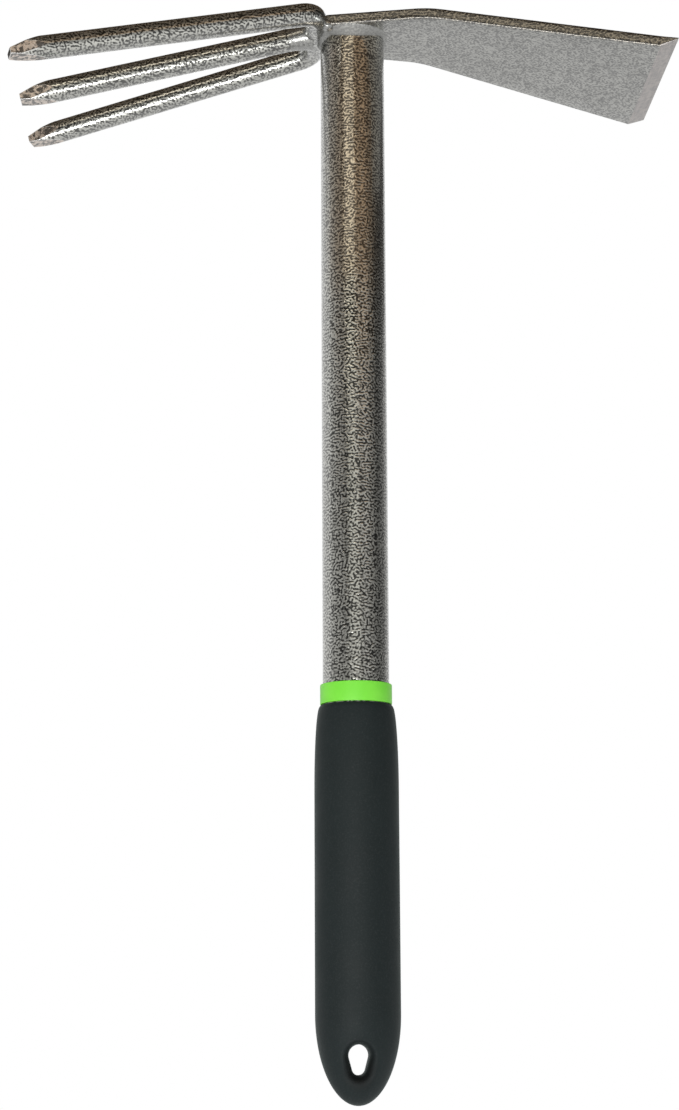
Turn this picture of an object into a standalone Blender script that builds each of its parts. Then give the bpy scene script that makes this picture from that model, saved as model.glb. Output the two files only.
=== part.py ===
"""One-hand garden tool with a flared hoe on one side of its head and three tines on the other.

Metres, +Z up along the handle, +X towards the hoe. The origin is the middle of the hang hole.
"""

import math

import bmesh
import bpy
from mathutils import Vector

MM = 0.001

# Handle tube
TUBE_OD = 22.2 * MM
TUBE_WALL = 1.5 * MM
TUBE_SHOWN = 228.6 * MM  # bare tube between the collar and the plate
TUBE_TO_HOLE = 7.0 * MM  # rubber left between the tube's lower end and the hang hole

# Grip
GRIP_LENGTH = 130.0 * MM
GRIP_WALL = 2.6 * MM
GRIP_LIP_WALL = 0.75 * MM  # at its thin upper edge
GRIP_SHOULDER = 28.0 * MM  # length over which the wall swells below the upper edge
GRIP_DOME = 29.0 * MM  # length of the rounded lower end
COLLAR_HEIGHT = 6.6 * MM
COLLAR_WALL = 0.6 * MM

# Hang hole, an egg standing on its narrow end
HOLE_TO_GRIP_END = 14.6 * MM
HOLE_WIDTH = 6.8 * MM
HOLE_FOOT_WIDTH = 4.6 * MM
HOLE_HEIGHT = 9.8 * MM
HOLE_FLARE = 2.0 * MM  # how far the mouth opens beyond the hole on every side
HOLE_FLARE_DEPTH = 5.0 * MM

# Hoe plate
PLATE_THICKNESS = 4.0 * MM
PLATE_ARRIS = 0.6 * MM  # rounding along its long edges
BACK_INSET = 2.1 * MM  # from the tube's outside in to the plate's back edge
BACK_MARGIN = 2.0 * MM  # plate beyond the tube on each side, at that edge
BEND_REACH = 25.5 * MM  # from the tube's axis, and so is the next one
EDGE_REACH = 108.4 * MM
BEND_ANGLE = math.radians(12.0)
BEND_RADIUS = 45.0 * MM
BLADE_WIDTH = 74.0 * MM  # at the cutting edge
EDGE_BEVEL = 5.5 * MM  # width of the ground bevel under the cutting edge
EDGE_LAND = 0.5 * MM  # thickness left at the cutting edge

# Tines, round rod
ROD_DIAMETER = 8.0 * MM
ROD_BEND_RADIUS = 6.5 * MM
TINE_REACH = 115.9 * MM  # from the tube's axis to the tips
TINE_DROP = 24.6 * MM  # from the crossbar's axis down to the tips
CROSSBAR_HALF = 18.0 * MM  # from the middle to the outer tines' axes at the crossbar
TIP_HALF_SPREAD = 40.4 * MM  # from the middle to the outer tips
TIP_LENGTH = 12.0 * MM
TIP_WIDTH = 6.0 * MM
TIP_ABOVE = 0.4 * MM  # steel left above the rod's axis at a tip
TIP_BELOW = 1.7 * MM  # and below it

# Welds
TUBE_WELD_HEIGHT = 3.0 * MM
TUBE_WELD_SPREAD = 2.2 * MM
WELD_TOE = 0.2 * MM  # thickness where a fillet runs out
BEAD_RADIUS = 2.4 * MM
BEAD_PROUD = 1.4 * MM  # height of the upper bead above the plate
BEAD_END_RADIUS = 1.4 * MM
BEAD_END = 2.0 * MM  # length over which a bead tapers to its end
UNDER_BEAD_LENGTH = 6.0 * MM
TINE_WELD_START = 1.2 * MM  # from the crossbar's axis, and so is its finish
TINE_WELD_FINISH = 10.0 * MM
TINE_WELD_ROOT_WALL = 1.5 * MM
TINE_WELD_TOE_WALL = 0.5 * MM

CLEARANCE = 0.3 * MM  # between pieces that touch

ROUND_SEGMENTS = 48
ROD_SEGMENTS = 24

# Worked out from the sizes above
TUBE_RADIUS = TUBE_OD / 2
SLEEVE_BORE = TUBE_RADIUS + CLEARANCE
GRIP_RADIUS = SLEEVE_BORE + GRIP_WALL
GRIP_LIP_RADIUS = SLEEVE_BORE + GRIP_LIP_WALL
GRIP_END_Z = -HOLE_TO_GRIP_END
GRIP_TOP_Z = GRIP_END_Z + GRIP_LENGTH
COLLAR_BOTTOM_Z = GRIP_TOP_Z + CLEARANCE
COLLAR_TOP_Z = COLLAR_BOTTOM_Z + COLLAR_HEIGHT
TUBE_TOP_Z = COLLAR_TOP_Z + TUBE_SHOWN
TUBE_BOTTOM_Z = HOLE_HEIGHT / 2 + TUBE_TO_HOLE
PLATE_MIDDLE_Z = TUBE_TOP_Z + CLEARANCE + PLATE_THICKNESS / 2
PLATE_UNDER_Z = PLATE_MIDDLE_Z - PLATE_THICKNESS / 2
PLATE_TOP_Z = PLATE_MIDDLE_Z + PLATE_THICKNESS / 2
BACK_HALF = TUBE_RADIUS + BACK_MARGIN
ROD_RADIUS = ROD_DIAMETER / 2
PLATE_BACK_X = BACK_INSET - TUBE_RADIUS
CROSSBAR_X = PLATE_BACK_X - CLEARANCE - ROD_RADIUS
CROSSBAR_Z = PLATE_MIDDLE_Z
TUBE_WELD_RADIUS = SLEEVE_BORE + WELD_TOE + TUBE_WELD_SPREAD
UP = Vector((0, 0, 1))


def clear_scene():
    """Remove whatever the open file holds."""
    for old in list(bpy.data.objects):
        bpy.data.objects.remove(old, do_unlink=True)


def make_material(name, colour, roughness, metallic):
    """A Principled material in one colour."""
    material = bpy.data.materials.new(name)
    material.use_nodes = True
    shader = material.node_tree.nodes["Principled BSDF"]
    shader.inputs["Base Color"].default_value = (*colour, 1.0)
    shader.inputs["Roughness"].default_value = roughness
    shader.inputs["Metallic"].default_value = metallic
    return material


def add_object(name, bm, material=None):
    """Turn a bmesh into a named object with outward faces and smooth round sides."""
    bmesh.ops.recalc_face_normals(bm, faces=bm.faces)
    mesh = bpy.data.meshes.new(name)
    bm.to_mesh(mesh)
    bm.free()
    mesh.shade_smooth()
    mesh.set_sharp_from_angle(angle=math.radians(32))
    if material is not None:
        mesh.materials.append(material)
    piece = bpy.data.objects.new(name, mesh)
    bpy.context.scene.collection.objects.link(piece)
    return piece


def loft(sections):
    """Bridge outlines of equal count into one closed body with flat ends."""
    bm = bmesh.new()
    rings = [[bm.verts.new(point) for point in section] for section in sections]
    for ring, following in zip(rings, rings[1:]):
        for index, vert in enumerate(ring):
            beside = (index + 1) % len(ring)
            bm.faces.new((vert, ring[beside], following[beside], following[index]))
    bm.faces.new(rings[0])
    bm.faces.new(rings[-1])
    return bm


def turn(profile):
    """Turn a profile of (radius, z) about Z, as a ring unless it starts and ends on the axis."""
    bm = bmesh.new()
    rings = []
    for radius, z in profile:
        if radius == 0:
            rings.append([bm.verts.new((0, 0, z))] * ROUND_SEGMENTS)
            continue
        angles = [math.tau * step / ROUND_SEGMENTS for step in range(ROUND_SEGMENTS)]
        rings.append([bm.verts.new((radius * math.cos(a), radius * math.sin(a), z)) for a in angles])
    if profile[0][0] > 0:
        rings.append(rings[0])
    for ring, following in zip(rings, rings[1:]):
        for index in range(ROUND_SEGMENTS):
            beside = (index + 1) % ROUND_SEGMENTS
            corners = (ring[index], ring[beside], following[beside], following[index])
            bm.faces.new(list(dict.fromkeys(corners)))
    return bm


def tangent_axes(path, index):
    """Direction of the path at a point, with the sideways and upward directions across it."""
    before = path[max(index - 1, 0)]
    after = path[min(index + 1, len(path) - 1)]
    along = (after - before).normalized()
    side = along.cross(UP).normalized()
    return along, side, side.cross(along)


def circle(centre, side, rise, radius):
    """Points of a circle in the plane of two directions."""
    angles = [math.tau * step / ROD_SEGMENTS for step in range(ROD_SEGMENTS)]
    return [centre + radius * (math.cos(a) * side + math.sin(a) * rise) for a in angles]


def sweep(path, radii):
    """A round bar along a path, with a radius for each point."""
    sections = []
    for index, centre in enumerate(path):
        _, side, rise = tangent_axes(path, index)
        sections.append(circle(centre, side, rise, radii[index]))
    return loft(sections)


def rounded_corner(before, corner, after, radius, steps=8):
    """Points of the arc that rounds a corner between two straight runs."""
    back = (before - corner).normalized()
    ahead = (after - corner).normalized()
    half = back.angle(ahead) / 2
    centre = corner + (back + ahead).normalized() * (radius / math.sin(half))
    start = corner + back * (radius / math.tan(half)) - centre
    finish = corner + ahead * (radius / math.tan(half)) - centre
    sweep_angle = start.angle(finish)
    points = []
    for step in range(steps + 1):
        part = step / steps
        first = math.sin((1 - part) * sweep_angle)
        second = math.sin(part * sweep_angle)
        points.append(centre + (start * first + finish * second) / math.sin(sweep_angle))
    return points


def cut_away(piece, cutter):
    """Cut one object out of another and keep the cutter out of the model."""
    cutter.hide_render = True
    cutter.display_type = "WIRE"
    modifier = piece.modifiers.new(cutter.name, "BOOLEAN")
    modifier.operation = "DIFFERENCE"
    modifier.solver = "EXACT"
    modifier.object = cutter


def box_cutter(name, low, high):
    """A plain block between two corners."""
    corners = [(low[0], low[1]), (high[0], low[1]), (high[0], high[1]), (low[0], high[1])]
    return add_object(name, loft([[Vector((x, y, z)) for x, y in corners] for z in (low[2], high[2])]))


def crossbar_cutter():
    """The crossbar with its clearance, as long as the head is wide."""
    reach = Vector((0, BLADE_WIDTH, 0))
    centre = Vector((CROSSBAR_X, 0, CROSSBAR_Z))
    ends = [centre - reach, centre + reach]
    return add_object("crossbar_clearance", sweep(ends, [ROD_RADIUS + CLEARANCE] * 2))


def handle_tube(material, clearance):
    """Steel tube, open at both ends, its top kept clear of the crossbar."""
    bore = TUBE_RADIUS - TUBE_WALL
    profile = [
        (bore, TUBE_BOTTOM_Z),
        (TUBE_RADIUS, TUBE_BOTTOM_Z),
        (TUBE_RADIUS, TUBE_TOP_Z),
        (bore, TUBE_TOP_Z),
    ]
    piece = add_object("handle_tube", turn(profile), material)
    cut_away(piece, clearance)


def plate_half_width(x):
    """Half the plate's width, which grows evenly from the back edge to the cutting edge."""
    part = (x - PLATE_BACK_X) / (EDGE_REACH - PLATE_BACK_X)
    return BACK_HALF + (BLADE_WIDTH / 2 - BACK_HALF) * part


def plate_stations():
    """Distance out, drop and slope of the plate's middle from its back edge to the cutting edge."""
    bend_tangent = BEND_RADIUS * math.tan(BEND_ANGLE / 2)
    bend_start = BEND_REACH - bend_tangent
    bend_finish = BEND_REACH + bend_tangent * math.cos(BEND_ANGLE)
    bend_drop = BEND_RADIUS * (1 - math.cos(BEND_ANGLE))
    bevel_start = EDGE_REACH - EDGE_BEVEL * math.cos(BEND_ANGLE)
    stations = [(PLATE_BACK_X, 0.0, 0.0)]
    for step in range(7):
        angle = BEND_ANGLE * step / 6
        x = bend_start + BEND_RADIUS * math.sin(angle)
        stations.append((x, BEND_RADIUS * (1 - math.cos(angle)), angle))
    for x in (bevel_start, EDGE_REACH):
        stations.append((x, bend_drop + (x - bend_finish) * math.tan(BEND_ANGLE), BEND_ANGLE))
    return stations


def plate_sections():
    """Outlines across the plate at each station, thinned from below at the cutting edge."""
    sections = []
    for x, drop, angle in plate_stations():
        height = EDGE_LAND if x == EDGE_REACH else PLATE_THICKNESS
        top = PLATE_THICKNESS / 2
        middle = Vector((x, 0, PLATE_MIDDLE_Z - drop))
        rise = Vector((math.sin(angle), 0, math.cos(angle)))
        sections.append(rounded_slab(middle, rise, plate_half_width(x), top - height, top))
    return sections


def rounded_slab(middle, rise, half_width, low, high):
    """A flat bar's outline across Y, its corners rounded as far as its height allows."""
    radius = min(PLATE_ARRIS, 0.45 * (high - low))
    corners = [
        (half_width - radius, high - radius, 0),
        (-half_width + radius, high - radius, 1),
        (-half_width + radius, low + radius, 2),
        (half_width - radius, low + radius, 3),
    ]
    points = []
    for across, height, quarter in corners:
        for eighth in (0, 1, 2):
            angle = math.pi / 2 * (quarter + eighth / 2)
            y = across + radius * math.cos(angle)
            points.append(middle + Vector((0, y, 0)) + rise * (height + radius * math.sin(angle)))
    return points


def hoe_plate(material):
    """A plate that widens evenly, flat over the tube and bent down into the blade, with a ground edge."""
    return add_object("hoe_plate", loft(plate_sections()), material)


def grind_tip(bm, tip, along):
    """Grind a tine's end to a blunt wedge with four flats, the deepest one on top."""
    side = along.cross(UP).normalized()
    rise = side.cross(along)
    flats = [(rise, TIP_ABOVE), (-rise, TIP_BELOW), (side, TIP_WIDTH / 2), (-side, TIP_WIDTH / 2)]
    for outward, reach in flats:
        near = [v for v in bm.verts if (v.co - tip).length < 1.2 * TIP_LENGTH + ROD_RADIUS * 0.2]
        chosen = set(near)
        edges = [e for e in bm.edges if chosen.issuperset(e.verts)]
        faces = [f for f in bm.faces if chosen.issuperset(f.verts)]
        depth = ROD_RADIUS - reach
        cut = bmesh.ops.bisect_plane(
            bm,
            geom=near + edges + faces,
            dist=0.0001 * MM,
            plane_co=tip + outward * reach,
            plane_no=(outward * TIP_LENGTH + along * depth).normalized(),
            clear_outer=True,
        )
        rim = [item for item in cut["geom_cut"] if isinstance(item, bmesh.types.BMEdge)]
        bmesh.ops.holes_fill(bm, edges=rim, sides=0)


def outer_tines(material):
    """One rod bent into a U: the near tine, the crossbar and the far tine."""
    tip_z = CROSSBAR_Z - TINE_DROP
    tips = [Vector((-TINE_REACH, side * TIP_HALF_SPREAD, tip_z)) for side in (-1, 1)]
    corners = [Vector((CROSSBAR_X, side * CROSSBAR_HALF, CROSSBAR_Z)) for side in (-1, 1)]
    outward = [(tip - corner).normalized() for tip, corner in zip(tips, corners)]
    path = [tips[0], tips[0] - outward[0] * TIP_LENGTH * 1.1]
    path += rounded_corner(tips[0], corners[0], corners[1], ROD_BEND_RADIUS)
    path += rounded_corner(corners[0], corners[1], tips[1], ROD_BEND_RADIUS)
    path += [tips[1] - outward[1] * TIP_LENGTH * 1.1, tips[1]]
    bm = sweep(path, [ROD_RADIUS] * len(path))
    for tip, along in zip(tips, outward):
        grind_tip(bm, tip, along)
    return add_object("outer_tines", bm, material)


def middle_tine_axis():
    """The crossbar's middle and the direction from there to the middle tip."""
    root = Vector((CROSSBAR_X, 0, CROSSBAR_Z))
    tip = Vector((-TINE_REACH, 0, CROSSBAR_Z - TINE_DROP))
    return root, tip, (tip - root).normalized()


def middle_tine(material, clearance):
    """Straight rod whose root is coped to sit on the crossbar."""
    root, tip, along = middle_tine_axis()
    path = [root, tip - along * TIP_LENGTH * 1.1, tip]
    bm = sweep(path, [ROD_RADIUS] * len(path))
    grind_tip(bm, tip, along)
    piece = add_object("middle_tine", bm, material)
    cut_away(piece, clearance)
    return piece


def weld_middle_tine(material, clearance):
    """Fillet of weld round the middle tine's root."""
    root, _, along = middle_tine_axis()
    side = along.cross(UP).normalized()
    rise = side.cross(along)
    bore = ROD_RADIUS + CLEARANCE
    start = root + along * TINE_WELD_START
    finish = root + along * TINE_WELD_FINISH
    collar = loft([
        circle(start, side, rise, bore + TINE_WELD_ROOT_WALL),
        circle(finish, side, rise, bore + TINE_WELD_TOE_WALL),
    ])
    piece = add_object("weld_middle_tine", collar, material)
    hollow = loft([
        circle(root, side, rise, bore),
        circle(finish + along * TINE_WELD_FINISH, side, rise, bore),
    ])
    cut_away(piece, add_object("weld_middle_tine_bore", hollow))
    cut_away(piece, clearance)
    return piece


def weld_tube(material):
    """Hollow fillet of weld round the tube's top, stopping at the plate's back edge."""
    top = PLATE_UNDER_Z - CLEARANCE
    foot = top - TUBE_WELD_HEIGHT - WELD_TOE
    profile = [(SLEEVE_BORE, top), (SLEEVE_BORE, foot)]
    for step in range(6):
        angle = math.pi / 2 * step / 5
        radius = TUBE_WELD_RADIUS - TUBE_WELD_SPREAD * math.cos(angle)
        profile.append((radius, foot + TUBE_WELD_HEIGHT * math.sin(angle)))
    profile.append((TUBE_WELD_RADIUS, top))
    piece = add_object("weld_tube", turn(profile), material)
    reach = 2 * TUBE_WELD_RADIUS
    low = (PLATE_BACK_X - reach, -reach, foot - TUBE_WELD_HEIGHT)
    high = (PLATE_BACK_X, reach, top + TUBE_WELD_HEIGHT)
    cut_away(piece, box_cutter("weld_tube_stop", low, high))


def bead(name, centre, half_length, material):
    """A straight bead along Y that tapers away at both ends."""
    ys = [-half_length, -half_length + BEAD_END, half_length - BEAD_END, half_length]
    path = [centre + Vector((0, y, 0)) for y in ys]
    radii = [BEAD_END_RADIUS, BEAD_RADIUS, BEAD_RADIUS, BEAD_END_RADIUS]
    return add_object(name, sweep(path, radii), material)


def weld_crossbar_top(material, clearance, straight_half):
    """Bead in the groove between the crossbar and the plate's back edge, on top."""
    seam_x = PLATE_BACK_X - CLEARANCE
    centre = Vector((seam_x, 0, PLATE_TOP_Z + BEAD_PROUD - BEAD_RADIUS))
    piece = bead("weld_crossbar_top", centre, straight_half, material)
    low = (seam_x, -BLADE_WIDTH, PLATE_UNDER_Z)
    high = (BEND_REACH, BLADE_WIDTH, PLATE_TOP_Z + CLEARANCE)
    cut_away(piece, box_cutter("plate_clearance", low, high))
    low = (CROSSBAR_X, -BLADE_WIDTH, CROSSBAR_Z - ROD_DIAMETER)
    high = (BEND_REACH, BLADE_WIDTH, PLATE_MIDDLE_Z)
    cut_away(piece, box_cutter("groove_foot", low, high))
    cut_away(piece, clearance)


def weld_crossbar_under(material, clearance, straight_half):
    """Two short beads below the same seam, one on each side of the tube."""
    under = PLATE_UNDER_Z - CLEARANCE
    low = (CROSSBAR_X - ROD_DIAMETER, -BLADE_WIDTH, under)
    high = (BEND_REACH, BLADE_WIDTH, CROSSBAR_Z + ROD_DIAMETER)
    below_plate = box_cutter("plate_underside", low, high)
    around = TUBE_WELD_RADIUS + CLEARANCE
    foot = under - BEAD_RADIUS * 2
    column = turn([(0, foot), (around, foot), (around, PLATE_TOP_Z), (0, PLATE_TOP_Z)])
    column = add_object("tube_weld_clearance", column)
    for side, place in ((-1, "near"), (1, "far")):
        y = side * (straight_half - UNDER_BEAD_LENGTH / 2 + BEAD_END)
        centre = Vector((PLATE_BACK_X - CLEARANCE, y, PLATE_UNDER_Z))
        piece = bead("weld_crossbar_" + place, centre, UNDER_BEAD_LENGTH / 2, material)
        for cutter in (below_plate, column, clearance):
            cut_away(piece, cutter)


def grip_collar(material):
    """Thin coloured ring above the grip."""
    outside = SLEEVE_BORE + COLLAR_WALL
    profile = [
        (SLEEVE_BORE, COLLAR_BOTTOM_Z),
        (outside, COLLAR_BOTTOM_Z),
        (outside, COLLAR_TOP_Z),
        (SLEEVE_BORE, COLLAR_TOP_Z),
    ]
    return add_object("grip_collar", turn(profile), material)


def egg_outline(y, grow):
    """The hang hole's outline at a depth, grown evenly: two arcs joined by their tangents."""
    head = HOLE_WIDTH / 2 + grow
    foot = HOLE_FOOT_WIDTH / 2 + grow
    head_z = HOLE_HEIGHT / 2 - HOLE_WIDTH / 2
    foot_z = HOLE_FOOT_WIDTH / 2 - HOLE_HEIGHT / 2
    lean = math.asin((head - foot) / (head_z - foot_z))
    points = []
    for step in range(17):
        angle = -lean + (math.pi + 2 * lean) * step / 16
        points.append(Vector((head * math.cos(angle), y, head_z + head * math.sin(angle))))
    for step in range(13):
        angle = math.pi + lean + (math.pi - 2 * lean) * step / 12
        points.append(Vector((foot * math.cos(angle), y, foot_z + foot * math.sin(angle))))
    return points


def grip_dome_radius(z):
    """Outer radius of the grip's rounded end at a height."""
    above_end = (z - GRIP_END_Z) / GRIP_DOME
    return GRIP_RADIUS * math.sqrt(max(0.0, 1 - (1 - min(above_end, 1.0)) ** 2))


def hang_hole_cutter():
    """The hang hole with a mouth that opens towards each face."""
    face = grip_dome_radius(0)
    sections = []
    for side in (-1, 1):
        depths = [0.0, 0.25, 0.5, 0.75, 1.0, 1.6]
        mouth = []
        for depth in depths:
            y = face - HOLE_FLARE_DEPTH * (1 - depth)
            mouth.append(egg_outline(side * y, HOLE_FLARE * depth ** 2))
        sections += mouth[::-1] if side < 0 else mouth
    return add_object("hang_hole", loft(sections))


def grip_cover(material):
    """Rubber sleeve with a swelling shoulder, a rounded solid end and the hang hole."""
    floor = TUBE_BOTTOM_Z - CLEARANCE
    profile = [(0, floor), (SLEEVE_BORE, floor), (SLEEVE_BORE, GRIP_TOP_Z)]
    for step in range(9):
        part = 1 - math.cos(math.pi / 2 * step / 8)
        swell = math.sqrt(1 - (1 - part) ** 2)
        radius = GRIP_LIP_RADIUS + (GRIP_RADIUS - GRIP_LIP_RADIUS) * swell
        profile.append((radius, GRIP_TOP_Z - GRIP_SHOULDER * part))
    for step in range(12):
        angle = math.pi / 2 * step / 12
        height = GRIP_DOME * (1 - math.sin(angle))
        profile.append((GRIP_RADIUS * math.cos(angle), GRIP_END_Z + height))
    profile.append((0, GRIP_END_Z))
    piece = add_object("grip_cover", turn(profile), material)
    cut_away(piece, hang_hole_cutter())
    return piece


def main():
    clear_scene()
    paint = make_material("hammered_paint", (0.26, 0.25, 0.20), 0.38, 0.6)
    green = make_material("green_plastic", (0.22, 0.80, 0.06), 0.45, 0.0)
    rubber = make_material("dark_rubber", (0.033, 0.038, 0.040), 0.75, 0.0)
    clearance = crossbar_cutter()
    straight_half = CROSSBAR_HALF - ROD_BEND_RADIUS
    handle_tube(paint, clearance)
    hoe_plate(paint)
    outer_tines(paint)
    middle_tine(paint, clearance)
    weld_middle_tine(paint, clearance)
    weld_tube(paint)
    weld_crossbar_top(paint, clearance, straight_half)
    weld_crossbar_under(paint, clearance, straight_half)
    grip_collar(green)
    grip_cover(rubber)


main()
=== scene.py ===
"""Looks of a one-hand garden tool: hammered paint on welded steel, a green collar and a rubber grip.

Metres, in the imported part's frame: +Z up the handle, +X towards the hoe blade, the camera on the -Y side.
"""

import math

import bmesh
import bpy
from mathutils import Matrix, Vector


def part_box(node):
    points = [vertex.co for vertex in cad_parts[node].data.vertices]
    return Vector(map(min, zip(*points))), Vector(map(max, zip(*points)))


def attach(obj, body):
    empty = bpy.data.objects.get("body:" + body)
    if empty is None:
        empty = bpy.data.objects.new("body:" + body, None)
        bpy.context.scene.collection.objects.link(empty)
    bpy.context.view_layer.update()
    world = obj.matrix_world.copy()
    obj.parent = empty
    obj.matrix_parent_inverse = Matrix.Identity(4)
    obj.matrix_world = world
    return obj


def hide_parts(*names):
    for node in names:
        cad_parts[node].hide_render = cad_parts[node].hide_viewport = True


MM = 0.001

# Camera, fitted to the photograph
CAMERA_PLACE = Vector((-34.66, -793.10, 9.84)) * MM
CAMERA_YAW = math.radians(2.12)
CAMERA_PITCH = math.radians(11.17)
CAMERA_ROLL = math.radians(-0.28)
LENS = 77.84  # millimetres
SENSOR = 36.0  # millimetres, along the photograph's long side

# Hoe plate
PLATE_THICKNESS = 4.0 * MM
PLATE_ARRIS = 0.8 * MM
BACK_HALF = 13.1 * MM
BEND_REACH = 25.5 * MM
BEND_ANGLE = math.radians(12.0)
BEND_RADIUS = 45.0 * MM
EDGE_REACH = 108.4 * MM  # from the tube's axis to the cutting edge
EDGE_BEVEL = 5.5 * MM
EDGE_LAND = 0.5 * MM
BEVEL_START = EDGE_REACH - EDGE_BEVEL * math.cos(BEND_ANGLE)

# Tines
ROD_DIAMETER = 8.0 * MM
ROD_BEND_RADIUS = 6.5 * MM
TINE_REACH = 115.9 * MM  # from the tube's axis to the tips
TINE_DROP = 24.6 * MM
CROSSBAR_HALF = 18.0 * MM
TIP_HALF_SPREAD = 40.4 * MM
TIP_LENGTH = 12.0 * MM
TIP_WIDTH = 6.0 * MM
TIP_ABOVE = 0.4 * MM  # steel left above the rod's axis at a tip
TIP_BELOW = 1.7 * MM  # and below it
TIP_ARRIS = 0.28 * MM
TIP_ARRIS_ANGLE = math.radians(20.0)  # edges sharper than this are eased
SHANK_END = 1.3 * TIP_LENGTH  # how far before its tip a rod's last ring lies
TIP_ZONE = 1.5 * TIP_LENGTH  # how far from its tip a rod is ground
CUT_END_SLACK = 0.01 * MM  # how far behind the tip a face of the cut end may lie

# Welds
TUBE_WELD_HEIGHT = 2.9 * MM
TUBE_WELD_SPREAD = 3.4 * MM
TUBE_WELD_THIN = 0.25  # share of that size left on the blade's side
TUBE_WELD_FADE = 2.15  # how fast its height shrinks towards that side
TUBE_WELD_SWELL = 0.7  # power of the sine by which its spread grows towards the front and back
TUBE_WELD_TINE_SIDE = 0.8  # share of its spread on the tines' side
TUBE_WELD_RIPPLE = 0.4  # share of the ripples' height that it has
TUBE_WELD_BULGE = 0.15 * MM
TUBE_WELD_SKIN = 0.02 * MM  # least height above the tube
BEAD_RADIUS = 2.4 * MM
BEAD_PROUD = 1.4 * MM  # how far the upper bead stands above the plate
BEAD_RISE = 0.3 * BEAD_RADIUS  # how far a lower bead's middle lies above the plate's underside
BEAD_END = 1.6  # length of a bead's rounded end, in radii
BEAD_END_THIN = 0.25  # share of the radius left at its very end
BEAD_WANDER = 0.15 * MM  # how far a bead strays from a straight line
BEAD_WANDER_PACE = 1.7 * MM
RIPPLE_PITCH = 1.7 * MM
RIPPLE_HEIGHT = 0.12 * MM
RIPPLE_DRIFT = 0.9  # radians by which the ripples run ahead and fall behind
RIPPLE_DRIFT_PACE = 1.9 * MM
TINE_WELD_START = 0.4  # its start, in rod radii from the crossbar's middle
TINE_WELD_LENGTH = 9.0 * MM
TINE_WELD_WALL = 1.5 * MM
TINE_WELD_RIPPLE = 0.6  # share of the ripples' height that it has

# Tube and grip
TUBE_WALL = 1.5 * MM
TUBE_END_ROUND = 0.4 * MM
COLLAR_ROUND = 0.25 * MM
GRIP_LIP_RADIUS = 12.15 * MM
GRIP_SHOULDER = 28.0 * MM
GRIP_DOME = 29.0 * MM
GRIP_LIP_ROUND = 0.5 * MM
HOLE_WIDTH = 6.8 * MM
HOLE_FOOT_WIDTH = 4.6 * MM
HOLE_HEIGHT = 9.8 * MM
HOLE_FLARE = 3.0 * MM  # how far the dished mouth reaches round the hole at its middle
HOLE_FLARE_LEAN = 0.22  # how much farther it reaches for each unit of height downwards
HOLE_FLARE_DEPTH = 7.0 * MM
HOLE_PAINTED_SHADE = 0.15  # share of the rubber's brightness left in the shade painted round the hole
HOLE_SHADE_START = 2.5 * MM  # half the width of that painted shade where it is darkest
HOLE_SHADE_END = 7.0 * MM  # and where it ends
HOLE_SHADE_SQUEEZE = 0.68  # its width as a share of its height
HOLE_SHADE_DROP = 1.1 * MM  # how far it lies below the hole's middle, times that share
SNUG = 0.03 * MM  # play left where a sleeve grips the tube
SUNK = 0.6 * MM  # how far a weld runs into what it joins
POLE_TURN = 0.04  # radians from the grip's lowest point to its lowest ring
FACE_REACH = 1.2  # height of each face of the grip's end, in heights of its dome

UP = Vector((0, 0, 1))

# Fineness of the meshes
TURNED_SEGMENTS = 128
ROD_SEGMENTS = 48
ROUND_STEPS = 5  # in a small quarter turn
CORNER_STEPS = 22  # in a rod's bend
TINE_STEPS = 10
MIDDLE_TINE_STEPS = 12
CROSSBAR_STEPS = 8
PLATE_FLAT_STEPS = 24
PLATE_BEND_STEPS = 8
PLATE_BLADE_STEPS = 30
PLATE_ACROSS_STEPS = 8
TUBE_WELD_SEGMENTS = 144
TUBE_WELD_STEPS = 8
TINE_WELD_STEPS = 40
BEAD_STEP = 0.25 * MM
BEAD_LEAST_STEPS = 24
GRIP_COLUMNS = 40  # across each face of the grip's end
GRIP_ROWS = 30
GRIP_LAYERS = 26  # from the hang hole out to the border of a face
GRIP_LAYER_POWER = 1.5  # above 1, so that the layers are closer together near the hole
GRIP_BODY_STEPS = 12
GRIP_SHOULDER_STEPS = 20
HOLE_WALL_STEPS = 12
HALVINGS = 40  # that find a point of the hole's outline
ONE_POINT = 0.002 * MM  # distance under which two points are one
ON_PLANE = 0.0001 * MM  # distance under which a point is on a plane

# Hammered paint
WARM_REFLECTION_FROM = 0.262  # height above which upright faces of the tube and the plate get a painted warm reflection in bronze
NO_WARM_REFLECTION = 1.0  # a height above the whole tool, so no painted warm reflection
PIT_SCALE = 590.0
PIT_WAVES = 1.6
PIT_EDGE = 0.09  # softness of the line between flakes and pits
UPRIGHT_FROM = 0.45  # slant of a face's normal to the front or back where it begins to count as upright
UPRIGHT_TO = 0.86  # and where it counts in full
WARM_REFLECTION_FADE = 0.013  # half the height over which the painted warm reflection fades in
WARM_REFLECTION_DRIFT = 0.006  # how far that height wanders up and down
PEWTER_FLAKE = (0.62, 0.62, 0.57)
PEWTER_PIT = (0.028, 0.028, 0.025)
# Bronze flakes and pits of the painted warm reflection
WARM_REFLECTION_FLAKE = (0.525, 0.478, 0.395)
WARM_REFLECTION_PIT = (0.074, 0.060, 0.046)

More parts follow.
